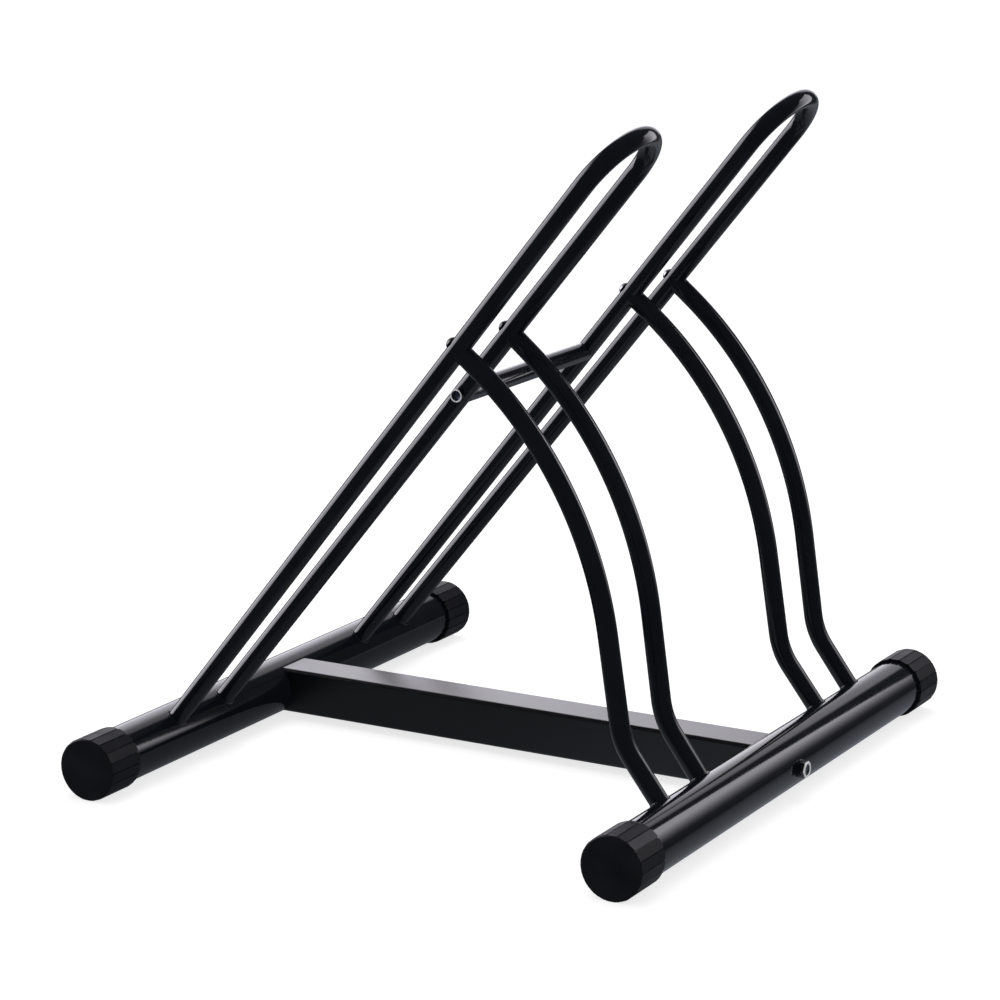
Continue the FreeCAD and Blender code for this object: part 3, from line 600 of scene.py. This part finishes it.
def weld_path(foot, direction):
    """The line on which a rod meets the base tube that it stands on."""
    forward = direction.cross(ALONG_BASE).normalized()
    across = forward.cross(direction).normalized()
    heading = direction - ALONG_BASE * direction.dot(ALONG_BASE)
    square = heading.dot(heading)
    points = []
    for step in range(WELD_STEPS):
        angle = math.tau * step / WELD_STEPS
        rim = (across * math.cos(angle) + forward * math.sin(angle)) * ROD_RADIUS
        off_axis = rim - ALONG_BASE * rim.dot(ALONG_BASE)
        half = off_axis.dot(heading)
        outside = off_axis.dot(off_axis) - BASE_RADIUS ** 2
        reach = (math.sqrt(half ** 2 - square * outside) - half) / square
        points.append(foot + rim + direction * reach)
    return points


hoop_feet = [(f"hoop_weld_{label}", on_hoop(side, leg * FOOT_HALF, 0), leg_direction(leg))
             for label, side, leg, foot_half in LEGS]
for number, (name, foot, direction) in enumerate(hoop_feet + stay_feet):
    bead = grown_mesh(name, path_object(name, weld_path(foot, direction), closed=True), weld_bead,
                      seed=float(number), finish_coat=powder_coat)
    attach(bead, "root")


# ---- crossbar ------------------------------------------------------------------------
# Square steel tube, 40 mm a side with small round corners, saddle-cut at both ends and
# held against the base tubes by one bolt from each outer side. Its coat is satin and
# slightly chalky, so its top looks pale at a low angle.
satin_coat = powder_coat_material("satin black powder coat", 0.30, 0.35, shade=0.2, chalk=1.0)


def refinish(node, material):
    """A solid that stays as it is takes a new material."""
    slots = bpy.data.objects[node].data.materials
    slots.clear()
    slots.append(material)


for node in ("crossbar", "entry_end_plate", "rear_end_plate"):
    refinish(node, satin_coat)


# ---- end caps ------------------------------------------------------------------------
# Moulded plastic caps pushed over the tube ends, with flat-topped ribs all round and a
# closed face. The plastic is dull black with a fine moulded grain.
PLASTIC_BLACK = (0.0045, 0.0052, 0.0080)
PLASTIC_PALER = (0.0075, 0.0085, 0.0120)
DUST_ON_PLASTIC = (0.16, 0.16, 0.17)


def moulded_plastic_material():
    material, tree, shader = new_material("black moulded plastic")
    grain = add_node(tree, "ShaderNodeGroup", {"node_tree": orange_peel},
                     Scale=2600.0, Drift_scale=45.0).outputs
    dust = add_node(tree, "ShaderNodeGroup", {"node_tree": settled_dust},
                    Amount=0.2, Fleck_scale=1300.0).outputs["Mask"]
    black = mixed_colour(tree, smooth_step(tree, grain["Drift"], NOISE_LOW, NOISE_HIGH),
                         PLASTIC_BLACK, PLASTIC_PALER)
    colour = mixed_colour(tree, dust, black, DUST_ON_PLASTIC)
    roughness = wandering(tree, grain["Drift"], 0.42, 0.52)
    bump = add_node(tree, "ShaderNodeBump", Strength=0.25, Distance=0.0001, Height=grain["Height"])
    finish_shader(tree, shader, colour, roughness, bump.outputs[0], Specular_IOR_Level=0.27)
    return material


moulded_plastic = moulded_plastic_material()
for end in ("entry", "rear"):
    for side_name, side in SIDES:
        refinish(f"{end}_cap_{side_name}", moulded_plastic)


# ---- bolts, washers, nuts and inserts ------------------------------------------------
# Zinc-plated steel. The stay bolts on the left take a paler copy of the zinc as painted light,
# and those on the right a darker copy as painted shade. The heads on the tie bar and crossbar
# have a raised rim painted pale as a painted highlight, round a dish and between hexagon sides
# painted dark as painted shade. The washers are coated black.
def plated_material(name, pale, dark, rough, metal=1.0):
    """Zinc plate, cloudy and finely brushed; with no metal it is matt, as on the rim painted pale
    as a painted highlight.
    """
    material, tree, shader = new_material(name)
    place = own_place(tree)
    clouds = noise_at(tree, place, 420.0, 4.0)
    brushed = add_node(tree, "ShaderNodeMapping", Vector=place, Scale=(900.0, 900.0, 5200.0))
    scratches = noise_at(tree, brushed.outputs[0], 1.0, 2.0)
    colour = mixed_colour(tree, smooth_step(tree, clouds, NOISE_LOW, NOISE_HIGH), dark, pale)
    roughness = wandering(tree, clouds, rough, rough + 0.1)
    bump = add_node(tree, "ShaderNodeBump", Strength=0.15, Distance=0.00005, Height=scratches)
    finish_shader(tree, shader, colour, roughness, bump.outputs[0], Metallic=metal)
    return material


bright_zinc = plated_material("bright zinc plate", (0.80, 0.81, 0.83), (0.62, 0.63, 0.66), 0.16)
zinc_painted_light = plated_material("zinc plate with painted light", (0.42, 0.42, 0.44), (0.30, 0.30, 0.32), 0.28)
zinc_painted_shade = plated_material("dark zinc plate", (0.12, 0.12, 0.125), (0.07, 0.07, 0.075), 0.30)
rim_painted_highlight = plated_material("zinc rim with painted highlight", (0.95, 0.95, 0.98), (0.90, 0.90, 0.94), 0.24,
                           metal=0.0)
dish_painted_shade = plated_material("zinc dish with painted shade", (0.16, 0.19, 0.24), (0.09, 0.11, 0.15), 0.22)
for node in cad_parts:
    # the left stay bolts take zinc with painted light, the right ones zinc with painted shade
    if node.startswith("stay_bolt"):
        refinish(node, zinc_painted_light if "left" in node else zinc_painted_shade)
    elif "washer" in node:
        refinish(node, powder_coat)
    elif "bolt" in node or "nut" in node or "insert" in node:
        refinish(node, bright_zinc)

SADDLE_THICKNESS = 0.0012
# one size of each head, the depth down the chamfer that takes the rim's painted highlight, sets
# painted light and no shape
TIE_BOLT = {"flats": 0.0106, "collar": 0.0006, "height": 0.0036, "rim": 0.0005,
            "highlight_depth": 0.0003, "dish_depth": 0.0010, "hollow": 2, "shank": 0.006}
CROSSBAR_BOLT = {"flats": 0.013, "collar": 0.0020, "height": 0.0053, "rim": 0.0011,
                 "highlight_depth": 0.0012, "dish_depth": 0.0016, "hollow": 6, "shank": 0.008}
HEAD_SIDES = 72
TIP_BEVEL, TIP_LENGTH = 0.0004, 0.0006
COLLAR_SHARE = 0.46
CHAMFER_STEPS = 10
CHAMFER_START = 0.0014
CHAMFER_STEP = 0.00013
CHAMFER_SLOPE = 0.9
RIM_EDGE = 0.0002
DISH_STEPS = 10
DISH_WALL_STEPS = 4
DISH_LIP = 0.00012
# the rim's painted highlight runs into the dish as far as this share of its radius
RIM_HIGHLIGHT_SHARE = 0.97
DISHED, SIDED, RIMMED, COLLARED = range(4)
# dish and hexagon sides in zinc with painted shade, rim in zinc with a painted highlight, collar in
# black coat
HEAD_FINISHES_AND_PAINTED_LIGHT = (dish_painted_shade, zinc_painted_shade, rim_painted_highlight, powder_coat)


def hexagon_bolt(node, seat, outward, flats, collar, height, rim, highlight_depth, dish_depth, hollow,
                 shank):
    """A bolt with a plain collar, a chamfered hexagon, a raised rim and a dished face; the rim is
    painted pale as a painted highlight, the hexagon sides and the dish dark as painted shade.
    """
    low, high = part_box(node)
    length = max(abs(high[axis] - low[axis]) for axis in range(3)) - height
    top = flats / 2 - RIM_EDGE
    inner = top - rim

    def hexagon(level):
        def radius(angle):
            corner = math.cos(math.remainder(angle + math.pi / 6, math.pi / 3))
            return min(flats / 2 / corner, top + 0.0001 + (height - level) * CHAMFER_SLOPE)
        return radius

    def plain(radius):
        return lambda angle: radius

    # each ring: its radius by angle, its height over the seat, the material up to the next ring,
    # among the black coat, the zinc with painted shade and the zinc with a painted highlight
    rings = [(plain(shank / 2 - TIP_BEVEL), -length, SIDED),
             (plain(shank / 2), TIP_LENGTH - length, SIDED), (plain(shank / 2), 0.0, SIDED),
             (plain(flats * COLLAR_SHARE), 0.0, COLLARED),
             (plain(flats * COLLAR_SHARE), collar, COLLARED)]
    levels = [collar + 0.0001]
    levels += [height - CHAMFER_START + CHAMFER_STEP * step for step in range(1, CHAMFER_STEPS + 1)]
    # the top of the chamfer takes the rim's painted highlight, the rest the painted shade of the
    # hexagon sides
    rings += [(hexagon(level), level, RIMMED if height - level < highlight_depth else SIDED)
              for level in levels]
    rings += [(plain(top), height - 0.00004, RIMMED), (plain(top - RIM_EDGE), height, RIMMED),
              (plain(inner + 0.00025), height, RIMMED),
              (plain(inner + 0.00008), height - 0.00005, RIMMED)]
    # the dish takes painted shade, its outer edge the rim's painted highlight
    for step in range(DISH_STEPS):
        part = step / DISH_STEPS
        share = 1 - 0.6 * part ** 2 if step < DISH_WALL_STEPS else 0.9 * (1 - part)
        depth = height - DISH_LIP - dish_depth * (1 - share ** hollow)
        rings.append((plain(inner * share), depth,
                      RIMMED if share > RIM_HIGHLIGHT_SHARE else DISHED))
    turn = Vector(outward).to_track_quat("Z", "Y").to_matrix()

    def placed(reach, angle, depth):
        offset = Vector((reach * math.cos(angle), reach * math.sin(angle), depth))
        return Vector(seat) + turn @ offset

    solid = bmesh.new()
    angles = [math.tau * side / HEAD_SIDES for side in range(HEAD_SIDES)]
    loops = [[solid.verts.new(placed(radius(angle), angle, depth)) for angle in angles]
             for radius, depth, finish in rings]
    for lower, upper, (radius, depth, finish) in zip(loops, loops[1:], rings):
        for side in range(HEAD_SIDES):
            after = (side + 1) % HEAD_SIDES
            face = solid.faces.new((lower[side], lower[after], upper[after], upper[side]))
            face.material_index = finish
    solid.faces.new(reversed(loops[0])).material_index = SIDED
    middle = solid.verts.new(placed(0, 0, height - DISH_LIP - dish_depth))
    for side in range(HEAD_SIDES):
        solid.faces.new((loops[-1][side], loops[-1][(side + 1) % HEAD_SIDES], middle))
    bmesh.ops.recalc_face_normals(solid, faces=solid.faces)
    mesh = bpy.data.meshes.new(node + "_turned")
    solid.to_mesh(mesh)
    solid.free()
    mesh.shade_smooth()
    mesh.set_sharp_from_angle(angle=math.radians(24))
    for finish in HEAD_FINISHES_AND_PAINTED_LIGHT:
        mesh.materials.append(finish)
    dress(in_scene(node + "_turned", mesh), node, slot="zinc_steel")


for side_name, side in SIDES:
    outward = ALONG_BASE * side
    leg_axis = on_hoop(side, -side * leg_half(TIE_HEIGHT), TIE_HEIGHT)
    hexagon_bolt(f"tie_bolt_{side_name}", leg_axis + outward * (ROD_RADIUS - SEAT_DEPTH), outward,
                 **TIE_BOLT)
for end, way, axis in (("entry", -1, ENTRY_AXIS), ("rear", 1, REAR_AXIS)):
    outward = Vector((0, way, 0))
    hexagon_bolt(f"{end}_crossbar_bolt", axis + outward * (BASE_RADIUS + SADDLE_THICKNESS),
                 outward, **CROSSBAR_BOLT)


# ---- floor, light and camera ---------------------------------------------------------
# A plain pale floor that shows white to the camera and keeps a soft shadow, even light
# from all round and a large soft lamp overhead. What the gloss of the tubes shows is a
# dark room with pale walls and one white card.
FLOOR_RADIUS = 30.0
FLOOR_PAPER = (0.72, 0.72, 0.72, 1)
SEEN_PAPER = (0.50, 0.50, 0.50, 1)
SEEN_LIFT = 0.75
NEAR_GLOW, REAR_GLOW = 0.10, 0.14
FLOOR_TINT = (0.90, 0.97, 1.10, 1)
ROOM_LEVEL = 0.05
MATT_LEVEL = 0.55
WALL_LEVEL = 0.90
SCREEN_LEVEL = 3.8
WHITE = (1.0, 1.0, 1.0)
ROOM_TINT = (0.985, 0.955, 1.05)
LEAST_DIVISOR = 0.05

floor_mesh = bpy.data.meshes.new("floor")
disc = bmesh.new()
bmesh.ops.create_circle(disc, cap_ends=True, segments=96, radius=FLOOR_RADIUS)
disc.to_mesh(floor_mesh)
disc.free()
in_scene("floor", floor_mesh)


def place_parts(tree, output):
    place = add_node(tree, "ShaderNodeTexCoord").outputs[output]
    return add_node(tree, "ShaderNodeSeparateXYZ", Vector=place).outputs


def floor_material():
    """White with a shadow to the camera, pale to matt faces, its own glow to glossy ones."""
    material, tree, shader = new_material("pale floor")
    tree.nodes.remove(shader)
    seen = add_node(tree, "ShaderNodeLightPath").outputs
    place = place_parts(tree, "Object")
    paper = add_node(tree, "ShaderNodeBsdfDiffuse", Color=FLOOR_PAPER).outputs[0]
    shaded = add_node(tree, "ShaderNodeBsdfDiffuse", Color=SEEN_PAPER).outputs[0]
    lift = add_node(tree, "ShaderNodeEmission", Color=(*WHITE, 1), Strength=SEEN_LIFT).outputs[0]
    lit = add_node(tree, "ShaderNodeAddShader", i0=shaded, i1=lift).outputs[0]
    # pale beside the tubes, dark further off on the camera's side
    far_end = smooth_step(tree, place["X"], 0.36, 0.20)
    rear_side = smooth_step(tree, place["Y"], 0.46, 0.27)
    behind = smooth_step(tree, place["Y"], -0.10, 0.20)
    glow = product(tree, far_end, rear_side,
                   math_node(tree, "MULTIPLY_ADD", behind, REAR_GLOW, NEAR_GLOW))
    glow = math_node(tree, "ADD", glow, ROOM_LEVEL)
    mirrored = add_node(tree, "ShaderNodeEmission", Color=FLOOR_TINT, Strength=glow).outputs[0]
    shown = add_node(tree, "ShaderNodeMixShader", i0=seen["Is Camera Ray"], i1=paper,
                     i2=lit).outputs[0]
    final = add_node(tree, "ShaderNodeMixShader", i0=seen["Is Glossy Ray"], i1=shown,
                     i2=mirrored).outputs[0]
    tree.links.new(final, tree.nodes["Material Output"].inputs["Surface"])
    return material


floor_mesh.materials.append(floor_material())


def studio_world():
    """White to the camera and even to matt faces; gloss shows a dark room with pale walls."""
    world = bpy.data.worlds.new("studio")
    world.use_nodes = True
    sky = world.node_tree
    shader = sky.nodes["Background"]
    seen = add_node(sky, "ShaderNodeLightPath").outputs
    toward = place_parts(sky, "Generated")
    # a pale wall behind the far entry corner, by the slope of the direction seen from above
    slope = math_node(sky, "DIVIDE", toward["Y"],
                      math_node(sky, "MINIMUM", toward["X"], -LEAST_DIVISOR))
    wall = math_node(sky, "ADD", smooth_step(sky, slope, -0.03, 0.10),
                     smooth_step(sky, slope, 0.30, 0.60))
    wall = product(sky, wall, smooth_step(sky, slope, 1.3, 0.9),
                   smooth_step(sky, toward["X"], -0.01, -0.08),
                   smooth_step(sky, toward["Z"], 0.75, 0.55))
    # a tall bright screen on the entry side
    ahead = product(sky, toward["Y"], -1.0)
    slope = math_node(sky, "DIVIDE", toward["X"], math_node(sky, "MAXIMUM", ahead, LEAST_DIVISOR))
    screen = product(sky, smooth_step(sky, slope, -0.45, -0.25),
                     smooth_step(sky, slope, 0.62, 0.50), smooth_step(sky, ahead, 0.05, 0.2),
                     smooth_step(sky, toward["Z"], 0.7, 0.45))
    level = math_node(sky, "MULTIPLY_ADD", wall, WALL_LEVEL, ROOM_LEVEL)
    level = math_node(sky, "MULTIPLY_ADD", screen, SCREEN_LEVEL, level)
    matt = add_node(sky, "ShaderNodeMix", {"data_type": "FLOAT"}, Factor=seen["Is Glossy Ray"],
                    i2=MATT_LEVEL, i3=level)
    shown = add_node(sky, "ShaderNodeMix", {"data_type": "FLOAT"}, Factor=seen["Is Camera Ray"],
                     i2=matt.outputs[0], i3=1.0)
    tint = mixed_colour(sky, seen["Is Glossy Ray"], WHITE, ROOM_TINT)
    sky.links.new(tint, shader.inputs["Color"])
    sky.links.new(shown.outputs[0], shader.inputs["Strength"])
    return world


bpy.context.scene.world = studio_world()

CARD_X = -0.684
CARD_Y = (0.423, 1.10)
CARD_Z = (0.01, 1.0)
CARD_TINT = (1.0, 0.97, 1.04, 1)
CARD_LOW, CARD_RISE = 0.08, 2.75
CARD_FADE_FROM = 0.2


def glossy_card():
    """A white card beside the far end of the rear tube, seen only in the gloss of the tubes."""
    mesh = bpy.data.meshes.new("white card")
    sheet = bmesh.new()
    (near, far), (low, high) = CARD_Y, CARD_Z
    corners = [sheet.verts.new((CARD_X, y, z))
               for y, z in ((near, low), (far, low), (far, high), (near, high))]
    sheet.faces.new(corners)
    sheet.to_mesh(mesh)
    sheet.free()
    material, tree, shader = new_material("white card")
    tree.nodes.remove(shader)
    place = place_parts(tree, "Object")
    # dark at its foot and brighter upwards, along lines that meet on the floor by the rear tube
    rise = math_node(tree, "DIVIDE", place["Z"],
                     math_node(tree, "SUBTRACT", place["Y"], CARD_FADE_FROM))
    glow = math_node(tree, "MULTIPLY_ADD", smooth_step(tree, rise, 0.15, 1.4), CARD_RISE, CARD_LOW)
    light = add_node(tree, "ShaderNodeEmission", Color=CARD_TINT, Strength=glow).outputs[0]
    tree.links.new(light, tree.nodes["Material Output"].inputs["Surface"])
    mesh.materials.append(material)
    card = in_scene("white card", mesh)
    card.visible_camera = False
    card.visible_diffuse = False
    card.visible_shadow = False


glossy_card()

LAMP_PLACE = Vector((-0.6, -0.4, 2.6))
LAMP_TARGET = Vector((0, 0, 0.1))
LAMP_SIZE = 2.2
LAMP_WATTS = 30.0
lamp = bpy.data.lights.new("overhead softbox", "AREA")
lamp.shape = "RECTANGLE"
lamp.size = lamp.size_y = LAMP_SIZE
lamp.energy = LAMP_WATTS
softbox = in_scene("overhead softbox", lamp)
softbox.location = LAMP_PLACE
softbox.rotation_euler = (LAMP_TARGET - LAMP_PLACE).to_track_quat("-Z", "Y").to_euler()
softbox.visible_glossy = False

# The camera stands at the photograph's place: fitted to tube outlines, cap rims and edges.
CAMERA_PLACE = Vector((2.4005, 1.3277, 0.8741))
AZIMUTH = math.radians(119.28)
ELEVATION = math.radians(13.32)
ROLL = math.radians(0.09)
SENSOR_WIDTH = 36.0
FOCAL_SHARE = 3.2887  # focal length over the sensor's width
back = Vector((math.sin(AZIMUTH) * math.cos(ELEVATION), -math.cos(AZIMUTH) * math.cos(ELEVATION),
               math.sin(ELEVATION)))
level_right = (-back).cross(Vector((0, 0, 1))).normalized()
level_up = back.cross(level_right)
right = level_right * math.cos(ROLL) + level_up * math.sin(ROLL)
up = back.cross(right)
camera_data = bpy.data.cameras.new("camera")
camera_data.sensor_width = SENSOR_WIDTH
camera_data.lens = SENSOR_WIDTH * FOCAL_SHARE
camera_data.clip_end = 100.0
camera = in_scene("camera", camera_data)
camera.matrix_world = Matrix((
    (right.x, up.x, back.x, CAMERA_PLACE.x),
    (right.y, up.y, back.y, CAMERA_PLACE.y),
    (right.z, up.z, back.z, CAMERA_PLACE.z),
    (0, 0, 0, 1)))
bpy.context.scene.camera = camera
bpy.context.scene.view_settings.view_transform = "Standard"
